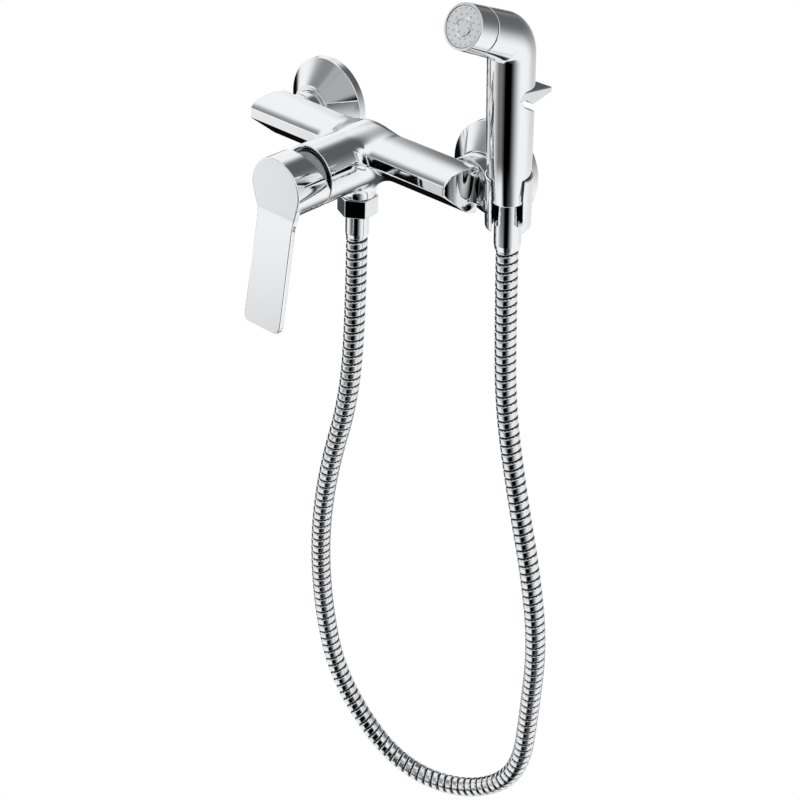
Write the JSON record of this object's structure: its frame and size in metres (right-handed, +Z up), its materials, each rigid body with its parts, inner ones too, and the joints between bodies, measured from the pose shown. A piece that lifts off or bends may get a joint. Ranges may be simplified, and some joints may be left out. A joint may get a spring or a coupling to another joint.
{
  "type": "wall-mounted bidet shower mixer",
  "caption": "Chrome single-lever wall mixer with a wedge-shaped bar, conical wall covers, a ribbed metal hose and a trigger spray handset in a slotted holder.",
  "frame": {"origin": "midway between the two wall unions, on the wall's surface", "axes": "+X along the bar to the user's right, +Y into the wall, +Z up"},
  "size_m": [0.2674, 0.1547, 0.6664],
  "materials": {
    "chrome": "polished",
    "hose_steel": "polished",
    "steel": "fine turned",
    "brass": "machined",
    "rubber": "matt black",
    "ceramic": "ground and polished",
    "cartridge_plastic": "moulded grey"
  },
  "bodies": {
    "mixer": {"wall_union_left": "chrome", "wall_union_right": "chrome", "escutcheon_left": "chrome", "escutcheon_right": "chrome", "union_nut_left": "chrome", "union_nut_right": "chrome", "mixer_body": "chrome", "retaining_nut": "chrome", "cover_dome": "chrome", "hose_nut": "chrome", "hose_ferrule": "chrome", "handset_holder": "chrome", "hose": "hose_steel", "holder_screw": "steel", "inlet_washer_left": "rubber", "inlet_washer_right": "rubber", "cartridge_seals": "rubber", "outlet_washer": "rubber", "fixed_disc": "ceramic", "cartridge_base": "cartridge_plastic", "cartridge_housing": "cartridge_plastic", "check_valve": "cartridge_plastic"},
    "turner": {"stem_guide": "cartridge_plastic", "stem_pin": "steel"},
    "lever": {"cartridge_stem": "steel", "lever_handle": "chrome", "lever_screw": "steel", "lever_plug": "cartridge_plastic"},
    "disc": {"disc_carrier": "cartridge_plastic", "moving_disc": "ceramic"},
    "handset": {"handset_body": "chrome", "spray_collar": "chrome", "spray_face": "chrome", "face_seal": "rubber", "trigger_pin": "steel", "valve_seat": "brass", "valve_spring": "steel", "connector_seal": "rubber", "hose_connector": "chrome"},
    "trigger": {"trigger": "chrome"},
    "plunger": {"valve_plunger": "brass", "valve_seal": "rubber"}
  },
  "joints": [
    {"name": "lever_turn", "type": "hinge", "parent": "mixer", "child": "turner", "pos_m": [0, -0.092, 0], "axis": [0, -1, 0], "range_deg": [-50, 50]},
    {"name": "lever_lift", "type": "hinge", "parent": "turner", "child": "lever", "pos_m": [0, -0.092, 0], "axis": [-1, 0, 0], "range_deg": [0, 22]},
    {"name": "disc_slide", "type": "slide", "parent": "turner", "child": "disc", "axis": [0, 0, -1], "range_m": [0, 0.005]},
    {"name": "handset_lift", "type": "slide", "parent": "mixer", "child": "handset", "axis": [0, -0.0774, 0.997], "range_m": [0, 0.06], "deforming": ["hose"]},
    {"name": "trigger_press", "type": "hinge", "parent": "handset", "child": "trigger", "pos_m": [0.1075, -0.03831, 0.06954], "axis": [-1, 0, 0], "range_deg": [0, 9], "stiffness_Nm_per_rad": 0.8, "springref_deg": -8.59},
    {"name": "plunger_slide", "type": "slide", "parent": "handset", "child": "plunger", "axis": [0, 0.0774, -0.997], "range_m": [0, 0.00122], "deforming": ["valve_spring"]}
  ],
  "couplings": [
    {"joint": "disc_slide", "follows": "lever_lift", "m_per_rad": 0.013},
    {"joint": "trigger_press", "follows": "plunger_slide", "rad_per_m": 128.2}
  ]
}
